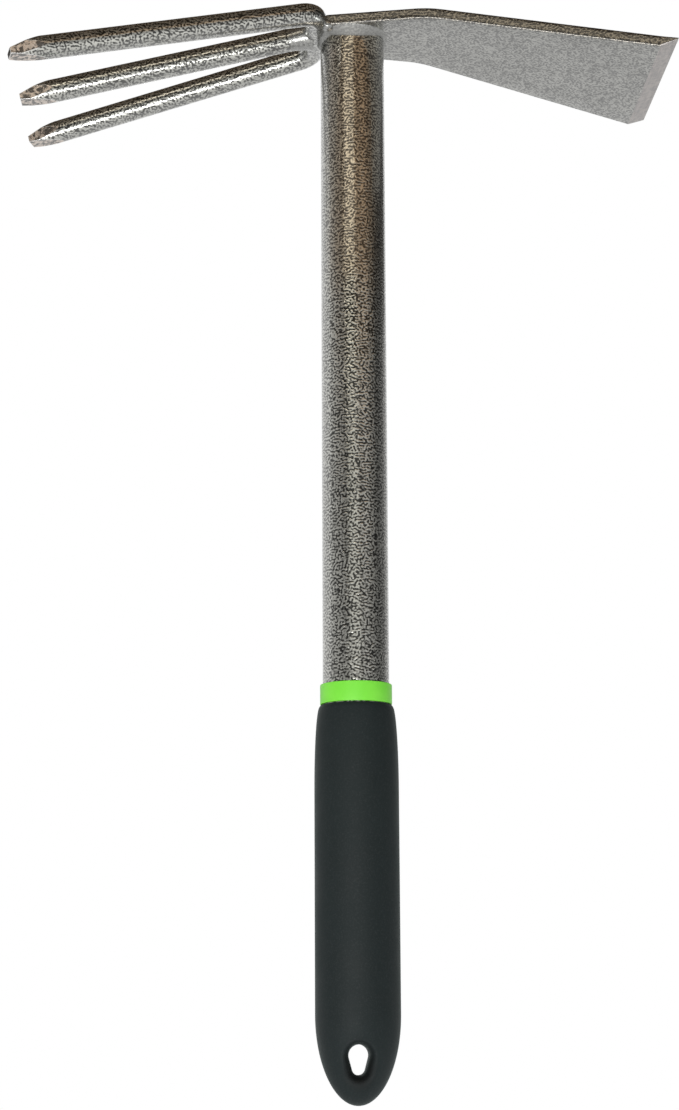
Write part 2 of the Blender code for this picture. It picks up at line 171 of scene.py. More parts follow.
# Cards that the metal mirrors: a wall round the front, grey below and brown above, and one overhead
WALL_START = -84.0  # degrees from the camera's side towards +X
WALL_STEP = 24.0
WALL_OVERLAP = 1.01
WALL_RADIUS = 2.35
WALL_SPLIT = 1.01  # height where grey gives way to brown
WALL_BELOW = 1.1  # height of the grey cards
WALL_ABOVE = 1.0  # and of the brown ones
BROWN_GREEN_LOSS = 0.29  # how much less green than red the wall's middle has, as a share
BROWN_BLUE_LOSS = 0.54  # and how much less blue
WALL_TONES = [  # brightness of the grey and the brown card at each step round the wall
    (0.95, 0.95),
    (0.74, 0.78),
    (0.42, 0.42),
    (0.34, 0.20),
    (0.55, 0.84),
    (0.95, 1.00),
    (0.46, 0.40),
    (0.20, 0.05),
    (0.38, 0.01),
    (1.00, 0.10),
]
CARD_ABOVE_PLACE = (0.0, -0.2, 1.95)
CARD_ABOVE_SIZE = (5.0, 4.6)
CARD_ABOVE_COLOUR = (0.16, 0.115, 0.075)

# Floor and world
FLOOR_DROP = 0.22  # below the tool's foot
FLOOR_SIZE = 9.0
FLOOR_COLOUR = (0.86, 0.86, 0.86)
FLOOR_GLOW = 0.7  # share of white in the floor where it is seen
WORLD_LIGHT = 0.55  # strength of the even light

# Lamps: name, place, target, width, height, brightness and colour
LAMPS = [
    ("key_high", (-0.42, -1.38, 1.09), (-0.02, 0, 1.09), 0.98, 0.42, 1.66, (1.0, 0.92, 0.76)),
    ("key_low", (-0.10, -1.40, 0.44), (-0.01, 0, 0.44), 0.90, 0.48, 0.55, (1.0, 1.0, 0.93)),
    ("front_low", (-0.17, -0.65, -0.16), (-0.05, 0, 0.33), 0.56, 0.17, 12.0, (1.0, 1.0, 1.0)),
    ("right_low", (1.2, 0.15, -0.25), (0, 0, 0.05), 0.8, 0.4, 1.9, (0.95, 1.0, 1.0)),
]

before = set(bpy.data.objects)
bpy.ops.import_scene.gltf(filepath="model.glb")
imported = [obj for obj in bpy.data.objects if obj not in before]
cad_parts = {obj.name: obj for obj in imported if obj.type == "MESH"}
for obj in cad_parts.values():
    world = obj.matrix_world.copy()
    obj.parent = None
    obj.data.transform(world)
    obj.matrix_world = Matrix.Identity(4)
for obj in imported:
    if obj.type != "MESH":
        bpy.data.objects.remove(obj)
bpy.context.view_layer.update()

# Places read from the frame
TUBE_LOW, TUBE_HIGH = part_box("handle_tube")
PLATE_LOW, PLATE_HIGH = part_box("hoe_plate")
TINES_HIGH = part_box("outer_tines")[1]
COLLAR_LOW, COLLAR_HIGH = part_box("grip_collar")
GRIP_LOW, GRIP_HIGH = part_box("grip_cover")
TUBE_RADIUS = TUBE_HIGH.x
ROD_RADIUS = ROD_DIAMETER / 2
PLATE_MIDDLE_Z = PLATE_HIGH.z - PLATE_THICKNESS / 2
PLATE_UNDER_Z = PLATE_HIGH.z - PLATE_THICKNESS
CROSSBAR = Vector((TINES_HIGH.x - ROD_RADIUS, 0, PLATE_MIDDLE_Z))
TIP_Z = CROSSBAR.z - TINE_DROP


# Shader helpers

def new_material(name):
    """An empty node material with its Principled shader."""
    material = bpy.data.materials.new(name)
    material.use_nodes = True
    return material, material.node_tree, material.node_tree.nodes["Principled BSDF"]


def add_node(tree, kind, values=None, **settings):
    """Add a node, set its properties, and set or link its inputs."""
    made = tree.nodes.new(kind)
    for key, value in settings.items():
        setattr(made, key, value)
    for key, value in (values or {}).items():
        if isinstance(value, bpy.types.NodeSocket):
            tree.links.new(value, made.inputs[key])
        else:
            made.inputs[key].default_value = value
    return made


def object_place(tree):
    """The point on the surface in the part's frame, in metres."""
    return add_node(tree, "ShaderNodeTexCoord").outputs["Object"]


def noise(tree, place, scale, detail=2.0, roughness=0.5, distortion=0.0):
    """Noise value from 0 to 1."""
    values = {
        "Vector": place,
        "Scale": scale,
        "Detail": detail,
        "Roughness": roughness,
        "Distortion": distortion,
    }
    return add_node(tree, "ShaderNodeTexNoise", values).outputs["Fac"]


def even_noise(tree, place, scale, waves):
    """Noise of one coarseness all over, without broad patches, about 0."""
    values = {"Vector": place, "Scale": scale, "Frequency": waves, "Anisotropy": 0.0}
    made = add_node(tree, "ShaderNodeTexGabor", values, gabor_type="3D")
    return calculate(tree, "SUBTRACT", made.outputs["Value"], 0.5)


def ramp(tree, value, low, high, to_low=0.0, to_high=1.0):
    """Map a value smoothly from one range to another."""
    values = {"Value": value, "From Min": low, "From Max": high, "To Min": to_low, "To Max": to_high}
    made = add_node(tree, "ShaderNodeMapRange", values, interpolation_type="SMOOTHSTEP")
    return made.outputs["Result"]


def calculate(tree, operation, first, second=0.0):
    """A Math node's result."""
    return add_node(tree, "ShaderNodeMath", {0: first, 1: second}, operation=operation).outputs[0]


def grey(tree, value):
    """A grey of a given value."""
    return add_node(tree, "ShaderNodeCombineColor", {"Red": value, "Green": value, "Blue": value}).outputs[0]


def blend_colour(tree, share, first, second, blend_type="MIX"):
    """Mix two colours, each a socket or three numbers."""
    made = add_node(tree, "ShaderNodeMix", data_type="RGBA", blend_type=blend_type)
    # The Mix node's socket 0 is its factor, 6 and 7 are its two colours, and output 2 is the mixed colour
    for socket, value in ((made.inputs[0], share), (made.inputs[6], first), (made.inputs[7], second)):
        if isinstance(value, bpy.types.NodeSocket):
            tree.links.new(value, socket)
        elif isinstance(value, tuple):
            socket.default_value = (*value, 1.0)
        else:
            socket.default_value = value
    return made.outputs[2]


def add_bump(tree, height, distance):
    """A bumped normal from a height, which the distance scales."""
    values = {"Height": height, "Distance": distance, "Strength": 1.0}
    return add_node(tree, "ShaderNodeBump", values).outputs["Normal"]


# Materials

def hammered_paint(
    name,
    depths,
    flat,
    shades=(0.95, 0.95),
    relief=0.13 * MM,
    roughness=0.28,
    metallic=0.92,
    coat=0.35,
    warm_reflection_from=NO_WARM_REFLECTION,
):
    """Hammered metallic paint: pale flakes round dark pits, in pewter, with a painted warm reflection in
    bronze above a height on upright faces.

    Depths and shades are how deep the pits are and how bright the pitted paint is; a lower shade for upright
    faces is painted shade. Each has a value for faces that look up, down or sideways, and one for upright
    faces that look to the front or back. Flat is the grey of smooth paint, and relief the height of the pits.
    """
    material, tree, shader = new_material(name)
    coordinates = add_node(tree, "ShaderNodeTexCoord")
    place = coordinates.outputs["Object"]
    facing = add_node(tree, "ShaderNodeSeparateXYZ", {0: coordinates.outputs["Normal"]}).outputs["Y"]
    upright = calculate(tree, "ABSOLUTE", facing)
    depth = ramp(tree, upright, UPRIGHT_FROM, UPRIGHT_TO, *depths)
    shade = grey(tree, ramp(tree, upright, UPRIGHT_FROM, UPRIGHT_TO, *shades))
    worms = even_noise(tree, place, PIT_SCALE, PIT_WAVES)
    flakes = ramp(tree, worms, -PIT_EDGE, PIT_EDGE)
    broad = noise(tree, place, 70.0, 2.0)
    height = add_node(tree, "ShaderNodeSeparateXYZ", {0: place}).outputs["Z"]
    shifted = calculate(tree, "ADD", height, ramp(tree, broad, 0.3, 0.7, -WARM_REFLECTION_DRIFT, WARM_REFLECTION_DRIFT))
    tinted = ramp(tree, shifted, warm_reflection_from - WARM_REFLECTION_FADE, warm_reflection_from + WARM_REFLECTION_FADE)
    # Painted warm reflection: bronze above a height, only on faces that look to the front or back
    warm_reflection_share = calculate(tree, "MULTIPLY", tinted, ramp(tree, upright, 0.30, 0.90))
    pale = blend_colour(tree, warm_reflection_share, PEWTER_FLAKE, WARM_REFLECTION_FLAKE)
    dark = blend_colour(tree, warm_reflection_share, PEWTER_PIT, WARM_REFLECTION_PIT)
    speckled = blend_colour(tree, 1.0, blend_colour(tree, flakes, dark, pale), shade, "MULTIPLY")
    colour = blend_colour(tree, depth, (flat, flat, flat * 0.97), speckled)
    tone = grey(tree, ramp(tree, broad, 0.25, 0.75, 0.94, 1.06))
    tree.links.new(blend_colour(tree, 1.0, colour, tone, "MULTIPLY"), shader.inputs["Base Color"])
    rough = ramp(tree, flakes, 0.0, 1.0, roughness + 0.06, roughness - 0.06)
    tree.links.new(rough, shader.inputs["Roughness"])
    shader.inputs["Metallic"].default_value = metallic
    tree.links.new(add_bump(tree, calculate(tree, "MULTIPLY", worms, depth), relief), shader.inputs["Normal"])
    shader.inputs["Coat Weight"].default_value = coat
    shader.inputs["Coat Roughness"].default_value = 0.07
    shader.inputs["Coat IOR"].default_value = 1.7
    return material


def ground_steel(
    name,
    mottling=0.0,
    coat=0.0,
    dark=(0.30, 0.285, 0.28),
    pale=(0.44, 0.42, 0.41),
    glance=1.0,
):
    """Bare steel with fine streaks from grinding.

    Mottling is the share of its colour that comes from dark and pale patches, coat the weight of a clear
    coat, and glance how bright the steel stays at a glancing angle.
    """
    material, tree, shader = new_material(name)
    place = object_place(tree)
    stretched = add_node(tree, "ShaderNodeMapping", {"Vector": place, "Scale": (1.0, 0.06, 1.0)})
    streaks = noise(tree, stretched.outputs[0], 1400.0, 3.0, 0.6)
    mottle = ramp(tree, noise(tree, place, 560.0, 2.0, 0.6, 0.8), 0.43, 0.57)
    colour = blend_colour(tree, ramp(tree, streaks, 0.3, 0.7), dark, pale)
    patchy = blend_colour(tree, mottle, (0.045, 0.040, 0.032), (0.72, 0.62, 0.53))
    tree.links.new(blend_colour(tree, mottling, colour, patchy), shader.inputs["Base Color"])
    tree.links.new(ramp(tree, streaks, 0.2, 0.8, 0.30, 0.48), shader.inputs["Roughness"])
    tree.links.new(add_bump(tree, streaks, 0.03 * MM), shader.inputs["Normal"])
    shader.inputs["Metallic"].default_value = 0.85
    shader.inputs["Specular Tint"].default_value = (glance, glance, glance, 1.0)
    shader.inputs["Coat Weight"].default_value = coat
    shader.inputs["Coat Roughness"].default_value = 0.08
    return material


def green_plastic():
    """Satin lime green plastic."""
    material, tree, shader = new_material("green_plastic")
    place = object_place(tree)
    broad = noise(tree, place, 140.0, 2.0)
    grain = noise(tree, place, 2600.0, 2.0)
    colour = blend_colour(tree, ramp(tree, broad, 0.3, 0.7), (0.170, 0.68, 0.037), (0.198, 0.72, 0.049))
    tree.links.new(colour, shader.inputs["Base Color"])
    tree.links.new(ramp(tree, grain, 0.3, 0.7, 0.38, 0.50), shader.inputs["Roughness"])
    tree.links.new(add_bump(tree, grain, 0.012 * MM), shader.inputs["Normal"])
    return material


def dark_rubber():
    """Matt charcoal rubber with a fine moulded grain and a few dusty patches, and shade painted round the
    hang hole.
    """
    material, tree, shader = new_material("dark_rubber")
    place = object_place(tree)
    broad = noise(tree, place, 45.0, 3.0, 0.55)
    grain = noise(tree, place, 1900.0, 3.0, 0.6)
    patches = ramp(tree, broad, 0.3, 0.72)
    colour = blend_colour(tree, patches, (0.0040, 0.0092, 0.0098), (0.0066, 0.0125, 0.0132))
    dusty = blend_colour(tree, ramp(tree, grain, 0.45, 0.8, 0.0, 0.35), colour, (0.030, 0.034, 0.036))
    # Painted shade: the rubber's colour darkens round the hang hole, as in the dish's shadow
    values = {"Vector": place, "Location": (0.0, 0.0, HOLE_SHADE_DROP), "Scale": (1.0, 0.0, HOLE_SHADE_SQUEEZE)}
    squeezed = add_node(tree, "ShaderNodeMapping", values)
    from_hole = add_node(tree, "ShaderNodeVectorMath", {0: squeezed.outputs[0]}, operation="LENGTH")
    kept = ramp(tree, from_hole.outputs["Value"], HOLE_SHADE_START, HOLE_SHADE_END, HOLE_PAINTED_SHADE, 1.0)
    painted_shade = grey(tree, kept)
    tree.links.new(blend_colour(tree, 1.0, dusty, painted_shade, "MULTIPLY"), shader.inputs["Base Color"])
    tree.links.new(ramp(tree, broad, 0.3, 0.7, 0.62, 0.74), shader.inputs["Roughness"])
    tree.links.new(add_bump(tree, grain, 0.03 * MM), shader.inputs["Normal"])
    shader.inputs["Specular IOR Level"].default_value = 0.30
    shader.inputs["Sheen Weight"].default_value = 0.10
    shader.inputs["Sheen Roughness"].default_value = 0.35
    shader.inputs["Sheen Tint"].default_value = (0.80, 1.0, 0.96, 1.0)
    return material


# Mesh helpers

def add_piece(name, bm, materials, node, sharp=32.0):
    """Turn a bmesh into a piece that stands for one CAD node."""
    bmesh.ops.recalc_face_normals(bm, faces=bm.faces)
    mesh = bpy.data.meshes.new(name)
    bm.to_mesh(mesh)
    bm.free()
    mesh.shade_smooth()
    mesh.set_sharp_from_angle(angle=math.radians(sharp))
    for material in materials:
        mesh.materials.append(material)
    piece = bpy.data.objects.new(name, mesh)
    bpy.context.scene.collection.objects.link(piece)
    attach(piece, "root")
    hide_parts(node)
    return piece


def join_rings(bm, rings, closed=False):
    """Bridge rings of equal count with quads, round each ring."""
    pairs = list(zip(rings, rings[1:]))
    if closed:
        pairs.append((rings[-1], rings[0]))
    for ring, following in pairs:
        for index, vert in enumerate(ring):
            beside = (index + 1) % len(ring)
            bm.faces.new((vert, ring[beside], following[beside], following[index]))


def loft(sections):
    """Bridge outlines of equal count, with flat ends."""
    bm = bmesh.new()
    rings = [[bm.verts.new(point) for point in section] for section in sections]
    join_rings(bm, rings)
    bm.faces.new(rings[0])
    bm.faces.new(rings[-1])
    return bm


def turned_ring(profile):
    """Turn a closed profile of (radius, z) about the handle's axis."""
    bm = bmesh.new()
    angles = [math.tau * step / TURNED_SEGMENTS for step in range(TURNED_SEGMENTS)]
    rings = []
    for radius, z in profile:
        rings.append([bm.verts.new((radius * math.cos(a), radius * math.sin(a), z)) for a in angles])
    join_rings(bm, rings, closed=True)
    return bm


def quarter(centre, radius, start):
    """Points of a quarter turn about a centre in a profile, from a start angle, clockwise."""
    points = []
    for step in range(ROUND_STEPS + 1):
        angle = math.radians(start) - math.pi / 2 * step / ROUND_STEPS
        points.append((centre[0] + radius * math.cos(angle), centre[1] + radius * math.sin(angle)))
    return points


def sleeve_profile(bore, outside, low, high, edge):
    """A plain ring's profile with rounded outer edges, from its top inner corner."""
    profile = [(bore, high)]
    profile += quarter((outside - edge, high - edge), edge, 90)
    profile += quarter((outside - edge, low + edge), edge, 0)
    profile.append((bore, low))
    return profile


def cross_axes(along):
    """Sideways and upward directions across a direction."""
    side = along.cross(UP).normalized()
    return side, side.cross(along)


def circle(centre, along, radius):
    """Points of a circle across a direction."""
    side, rise = cross_axes(along)
    angles = [math.tau * step / ROD_SEGMENTS for step in range(ROD_SEGMENTS)]
    return [centre + radius * (math.cos(a) * side + math.sin(a) * rise) for a in angles]


def sweep(path, radii):
    """A round bar along a path, with a radius for each point."""
    sections = []
    for index, centre in enumerate(path):
        along = (path[min(index + 1, len(path) - 1)] - path[max(index - 1, 0)]).normalized()
        sections.append(circle(centre, along, radii[index]))
    return loft(sections)


def rounded_corner(before, corner, after, radius):
    """Points of the arc that rounds a corner between two straight runs."""
    back = (before - corner).normalized()
    ahead = (after - corner).normalized()
    half = back.angle(ahead) / 2
    centre = corner + (back + ahead).normalized() * (radius / math.sin(half))
    start = corner + back * (radius / math.tan(half)) - centre
    finish = corner + ahead * (radius / math.tan(half)) - centre
    axis, whole = start.rotation_difference(finish).to_axis_angle()
    turns = [whole * step / CORNER_STEPS for step in range(CORNER_STEPS + 1)]
    return [centre + Matrix.Rotation(turn, 3, axis) @ start for turn in turns]


def straight(start, finish, steps):
    """Points between two ends, without the last one."""
    return [start.lerp(finish, step / steps) for step in range(steps)]


def ripple(distance):
    """Height of a weld's ripples at a distance along it: uneven waves, with slower and weaker ones added."""
    phase = math.tau * distance / RIPPLE_PITCH + RIPPLE_DRIFT * math.sin(distance / RIPPLE_DRIFT_PACE)
    return RIPPLE_HEIGHT * (math.sin(phase) + 0.5 * math.sin(0.43 * phase + 1.0))


# Pieces

def tube_piece(paint):
    """Steel tube, its outer edges eased."""
    profile = sleeve_profile(TUBE_RADIUS - TUBE_WALL, TUBE_RADIUS, TUBE_LOW.z, TUBE_HIGH.z, TUBE_END_ROUND)
    add_piece("steel_tube", turned_ring(profile), [paint], "handle_tube")


def plate_half_width(x):
    """Half the plate's width, which grows evenly from the back edge to the cutting edge."""
    part = (x - PLATE_LOW.x) / (EDGE_REACH - PLATE_LOW.x)
    return BACK_HALF + (PLATE_HIGH.y - BACK_HALF) * part


def plate_stations():
    """Distance out, drop and slope of the plate at steps from its back edge to the cutting edge."""
    tangent = BEND_RADIUS * math.tan(BEND_ANGLE / 2)
    bend_start = BEND_REACH - tangent
    bend_finish = BEND_REACH + tangent * math.cos(BEND_ANGLE)
    bend_drop = BEND_RADIUS * (1 - math.cos(BEND_ANGLE))
    stations = []
    for step in range(PLATE_FLAT_STEPS):
        stations.append((PLATE_LOW.x + (bend_start - PLATE_LOW.x) * step / PLATE_FLAT_STEPS, 0.0, 0.0))
    for step in range(PLATE_BEND_STEPS + 1):
        angle = BEND_ANGLE * step / PLATE_BEND_STEPS
        x = bend_start + BEND_RADIUS * math.sin(angle)
        stations.append((x, BEND_RADIUS * (1 - math.cos(angle)), angle))
    for step in range(1, PLATE_BLADE_STEPS + 1):
        x = bend_finish + (BEVEL_START - bend_finish) * step / PLATE_BLADE_STEPS
        stations.append((x, bend_drop + (x - bend_finish) * math.tan(BEND_ANGLE), BEND_ANGLE))
    stations.append((EDGE_REACH, bend_drop + (EDGE_REACH - bend_finish) * math.tan(BEND_ANGLE), BEND_ANGLE))
    return stations


def slab_outline(middle, rise, half_width, low, high):
    """A flat bar's outline across Y, its corners rounded as far as its height allows."""
    radius = min(PLATE_ARRIS, 0.45 * (high - low))
    corners = [
        (half_width - radius, high - radius),
        (radius - half_width, high - radius),
        (radius - half_width, low + radius),
        (half_width - radius, low + radius),
    ]
    points = []
    for turn, (across, height) in enumerate(corners):
        for step in range(ROUND_STEPS + 1):
            angle = math.pi / 2 * (turn + step / ROUND_STEPS)
            y = across + radius * math.cos(angle)
            points.append(middle + Vector((0, y, 0)) + rise * (height + radius * math.sin(angle)))
        following = corners[(turn + 1) % 4][0]
        if turn in (0, 2):
            edge = high if turn == 0 else low
            for step in range(1, PLATE_ACROSS_STEPS):
                y = across + (following - across) * step / PLATE_ACROSS_STEPS
                points.append(middle + Vector((0, y, 0)) + rise * edge)
    return points


def plate_piece(materials):
    """A plate that widens evenly and is bent down into the blade.

    Its materials are its paint, the steel of the bevel under its edge and, on its top, a lighter and less
    metallic copy of its paint: painted light.
    """
    sections = []
    for x, drop, angle in plate_stations():
        thickness = EDGE_LAND if x == EDGE_REACH else PLATE_THICKNESS
        middle = Vector((x, 0, PLATE_MIDDLE_Z - drop))
        rise = Vector((math.sin(angle), 0, math.cos(angle)))
        top = PLATE_THICKNESS / 2
        sections.append(slab_outline(middle, rise, plate_half_width(x), top - thickness, top))
    bm = loft(sections)
    bmesh.ops.recalc_face_normals(bm, faces=bm.faces)
    for face in bm.faces:
        if face.calc_center_median().x > BEVEL_START and face.normal.z < 0:
            face.material_index = 1
        # Faces that look up take the lighter copy of the paint: painted light
        elif face.normal.z > 0.5:
            face.material_index = 2
    add_piece("hoe_blade", bm, materials, "hoe_plate", sharp=24.0)


def grind_tip(bm, tip, along):
    """Grind a rod's end to a blunt wedge: four flats in the second material, its cut end in the third."""
    side, rise = cross_axes(along)
    flats = [(rise, TIP_ABOVE), (-rise, TIP_BELOW), (side, TIP_WIDTH / 2), (-side, TIP_WIDTH / 2)]
    for outward, reach in flats:
        near = [v for v in bm.verts if (v.co - tip).length < TIP_ZONE]
        chosen = set(near)
        edges = [e for e in bm.edges if chosen.issuperset(e.verts)]
        faces = [f for f in bm.faces if chosen.issuperset(f.verts)]
        depth = ROD_RADIUS - reach
        cut = bmesh.ops.bisect_plane(
            bm,
            geom=near + edges + faces,
            dist=ON_PLANE,
            plane_co=tip + outward * reach,
            plane_no=(outward * TIP_LENGTH + along * depth).normalized(),
            clear_outer=True,
        )
        rim = [item for item in cut["geom_cut"] if isinstance(item, bmesh.types.BMEdge)]
        for face in bmesh.ops.holes_fill(bm, edges=rim, sides=0)["faces"]:
            face.material_index = 1
    for face in bm.faces:
        if all((v.co - tip).dot(along) > -CUT_END_SLACK for v in face.verts):
            face.material_index = 2


def ease_edges(piece):
    """Round a tine's sharp edges a little, with its last material on them: bright steel, partly wear and
    partly a painted highlight line.
    """
    modifier = piece.modifiers.new("eased_edges", "BEVEL")
    modifier.material = len(piece.data.materials) - 1
    modifier.width = TIP_ARRIS
    modifier.segments = 3
    modifier.harden_normals = True
    modifier.limit_method = "ANGLE"
    modifier.angle_limit = TIP_ARRIS_ANGLE


def outer_tines_piece(materials):
    """One rod bent into a U: the near tine, the crossbar and the far tine."""
    tips = [Vector((-TINE_REACH, side * TIP_HALF_SPREAD, TIP_Z)) for side in (-1, 1)]
    corners = [CROSSBAR + Vector((0, side * CROSSBAR_HALF, 0)) for side in (-1, 1)]
    outward = [(tip - corner).normalized() for tip, corner in zip(tips, corners)]
    near_bend = rounded_corner(tips[0], corners[0], corners[1], ROD_BEND_RADIUS)
    far_bend = rounded_corner(corners[0], corners[1], tips[1], ROD_BEND_RADIUS)
    shanks = [tip - along * SHANK_END for tip, along in zip(tips, outward)]
    path = [tips[0]] + straight(shanks[0], near_bend[0], TINE_STEPS) + near_bend
    path += straight(near_bend[-1], far_bend[0], CROSSBAR_STEPS)[1:] + far_bend
    path += straight(far_bend[-1], shanks[1], TINE_STEPS)[1:] + [shanks[1], tips[1]]
    bm = sweep(path, [ROD_RADIUS] * len(path))
    for tip, along in zip(tips, outward):
        grind_tip(bm, tip, along)
    piece = add_piece("tine_rod", bm, materials, "outer_tines", sharp=9.0)
    ease_edges(piece)


def middle_tine_piece(materials):
    """Straight rod running into the crossbar."""
    tip = Vector((-TINE_REACH, 0, TIP_Z))
    along = (tip - CROSSBAR).normalized()
    shank = tip - along * SHANK_END
    path = straight(CROSSBAR, shank, MIDDLE_TINE_STEPS) + [shank, tip]
    bm = sweep(path, [ROD_RADIUS] * len(path))
    grind_tip(bm, tip, along)
    piece = add_piece("tine_middle", bm, materials, "middle_tine", sharp=9.0)
    ease_edges(piece)


def tube_weld_piece(paint):
    """Fillet round the tube's top: full in front, behind and towards the crossbar, thin towards the blade."""
    bm = bmesh.new()
    rings = []
    for step in range(TUBE_WELD_SEGMENTS):
        angle = math.tau * step / TUBE_WELD_SEGMENTS
        sideways = abs(math.sin(angle))
        towards_tines = -math.cos(angle)
        fullness = max(0.0, 1 - TUBE_WELD_FADE * (1 - max(sideways, towards_tines)))
        foot = PLATE_UNDER_Z - TUBE_WELD_HEIGHT * (TUBE_WELD_THIN + (1 - TUBE_WELD_THIN) * fullness)
        swell = max(TUBE_WELD_THIN, sideways ** TUBE_WELD_SWELL, TUBE_WELD_TINE_SIDE * towards_tines)
        reach = TUBE_WELD_SPREAD * swell + TUBE_WELD_RIPPLE * ripple(angle * TUBE_RADIUS)
        outline = [(TUBE_RADIUS - SUNK, foot)]
        for part in range(TUBE_WELD_STEPS + 1):
            share = part / TUBE_WELD_STEPS
            bulge = TUBE_WELD_BULGE * math.sin(math.pi * share)
            radius = TUBE_RADIUS + reach * share + bulge + TUBE_WELD_SKIN
            outline.append((radius, foot + (PLATE_UNDER_Z - foot) * share))
        outline.append((outline[-1][0], PLATE_UNDER_Z + SUNK))
        outline.append((TUBE_RADIUS - SUNK, PLATE_UNDER_Z + SUNK))
        rings.append([bm.verts.new((r * math.cos(angle), r * math.sin(angle), z)) for r, z in outline])
    join_rings(bm, rings, closed=True)
    add_piece("tube_fillet", bm, [paint], "weld_tube", sharp=50.0)


def bead(centre, half_length, radius):
    """A rippled bead along Y with rounded ends."""
    steps = max(BEAD_LEAST_STEPS, int(half_length / BEAD_STEP))
    path = []
    radii = []
    for step in range(steps + 1):
        offset = -half_length + 2 * half_length * step / steps
        reach = min(1.0, (half_length - abs(offset)) / (BEAD_END * radius))
        taper = BEAD_END_THIN + (1 - BEAD_END_THIN) * math.sqrt(max(0.0, 1 - (1 - reach) ** 2))
        path.append(centre + Vector((BEAD_WANDER * math.sin(offset / BEAD_WANDER_PACE), offset, 0)))
        radii.append(radius * taper + ripple(offset) * reach)
    return sweep(path, radii)


def crossbar_weld_pieces(paint):
    """Beads in the seam between the crossbar and the plate: a long one above and two short ones below."""
    seam_x = PLATE_LOW.x
    straight_half = CROSSBAR_HALF - ROD_BEND_RADIUS
    above = Vector((seam_x, 0, PLATE_HIGH.z + BEAD_PROUD - BEAD_RADIUS))
    bm = bead(above, straight_half, BEAD_RADIUS)
    add_piece("seam_bead_top", bm, [paint], "weld_crossbar_top", sharp=60.0)
    for node in ("weld_crossbar_near", "weld_crossbar_far"):
        low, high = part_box(node)
        below = Vector((seam_x, (low.y + high.y) / 2, PLATE_UNDER_Z + BEAD_RISE))
        bm = bead(below, (high.y - low.y) / 2, BEAD_RADIUS)
        name = node.replace("weld_crossbar", "seam_bead")
        add_piece(name, bm, [paint], node, sharp=60.0)


def tine_weld_piece(paint):
    """Fillet round the middle tine's root, easing from the crossbar into the rod."""
    along = (Vector((-TINE_REACH, 0, TIP_Z)) - CROSSBAR).normalized()
    path = []
    radii = []
    for step in range(TINE_WELD_STEPS + 1):
        part = step / TINE_WELD_STEPS
        path.append(CROSSBAR + along * (ROD_RADIUS * TINE_WELD_START + TINE_WELD_LENGTH * part))
        wall = TINE_WELD_WALL * (1 - part) ** 2
        rough = ripple(part * TINE_WELD_LENGTH) * TINE_WELD_RIPPLE * (1 - part)
        radii.append(ROD_RADIUS + wall + rough - SNUG * part)
    bm = sweep(path, radii)
    add_piece("tine_fillet", bm, [paint], "weld_middle_tine", sharp=60.0)


def collar_piece(green):
    """Green ring snug on the tube, its edges rounded."""
    foot = COLLAR_LOW.z - SNUG
    profile = sleeve_profile(TUBE_RADIUS + SNUG, COLLAR_HIGH.x, foot, COLLAR_HIGH.z, COLLAR_ROUND)
    add_piece("green_ring", turned_ring(profile), [green], "grip_collar", sharp=50.0)


def hole_gap(x, z):
    """Distance from the hang hole's outline, an egg made of two arcs and their tangents."""
    head = HOLE_WIDTH / 2
    foot = HOLE_FOOT_WIDTH / 2
    foot_z = foot - HOLE_HEIGHT / 2
    height = HOLE_HEIGHT - head - foot
    lean = (foot - head) / height
    upright = math.sqrt(1 - lean ** 2)
    across = abs(x)
    above = z - foot_z
    reach = upright * above - lean * across
    if reach < 0:
        return math.hypot(across, above) - foot
    if reach > upright * height:
        return math.hypot(across, above - height) - head
    return upright * across + lean * above - foot


def hole_point(angle):
    """Point of the hang hole's outline in a direction from its middle."""
    inside = 0.0
    outside = HOLE_HEIGHT
    for _ in range(HALVINGS):
        middle = (inside + outside) / 2
        if hole_gap(middle * math.cos(angle), middle * math.sin(angle)) < 0:
            inside = middle
        else:
            outside = middle
    return inside * math.cos(angle), inside * math.sin(angle)


def grip_radius(z):
    """Outer radius of the grip below its shoulder."""
    above_end = min(1.0, (z - GRIP_LOW.z) / GRIP_DOME)
    return GRIP_HIGH.x * math.sqrt(max(0.0, 1 - (1 - above_end) ** 2))


def grip_side_z(part):
    """Height of a ring of the grip's rounded end: part 0 is close to its pole and part 1 above the dome."""
    turn = POLE_TURN + (math.pi / 2 - POLE_TURN) * min(1.0, part * FACE_REACH)
    rise = GRIP_DOME * (1 - math.cos(turn))
    return GRIP_LOW.z + rise + max(0.0, part * FACE_REACH - 1.0) * GRIP_DOME


def patch_border():
    """Corners passed, turn and height round one face of the grip's end, clockwise from its top left."""
    quarter_turn = math.pi / 2
    border = []
    for step in range(GRIP_COLUMNS):
        across = math.pi * step / GRIP_COLUMNS
        border.append((step / GRIP_COLUMNS, -quarter_turn + across, grip_side_z(1.0)))
    for step in range(GRIP_ROWS):
        border.append((1 + step / GRIP_ROWS, quarter_turn, grip_side_z(1 - step / GRIP_ROWS)))
    for step in range(GRIP_COLUMNS):
        across = math.pi * step / GRIP_COLUMNS
        border.append((2 + step / GRIP_COLUMNS, quarter_turn - across, grip_side_z(0.0)))
    for step in range(GRIP_ROWS):
        border.append((3 + step / GRIP_ROWS, -quarter_turn, grip_side_z(step / GRIP_ROWS)))
    return border


def dished_depth(x, z, depth):
    """A depth on the grip's face, lessened where the mouth of the hang hole is dished."""
    flare = max(HOLE_FLARE / 2, HOLE_FLARE - HOLE_FLARE_LEAN * z)
    near = min(1.0, max(0.0, hole_gap(x, z)) / flare)
    dish = HOLE_FLARE_DEPTH * (1 - math.sqrt(1 - (1 - near) ** 2))
    return max(0.0, depth - dish)


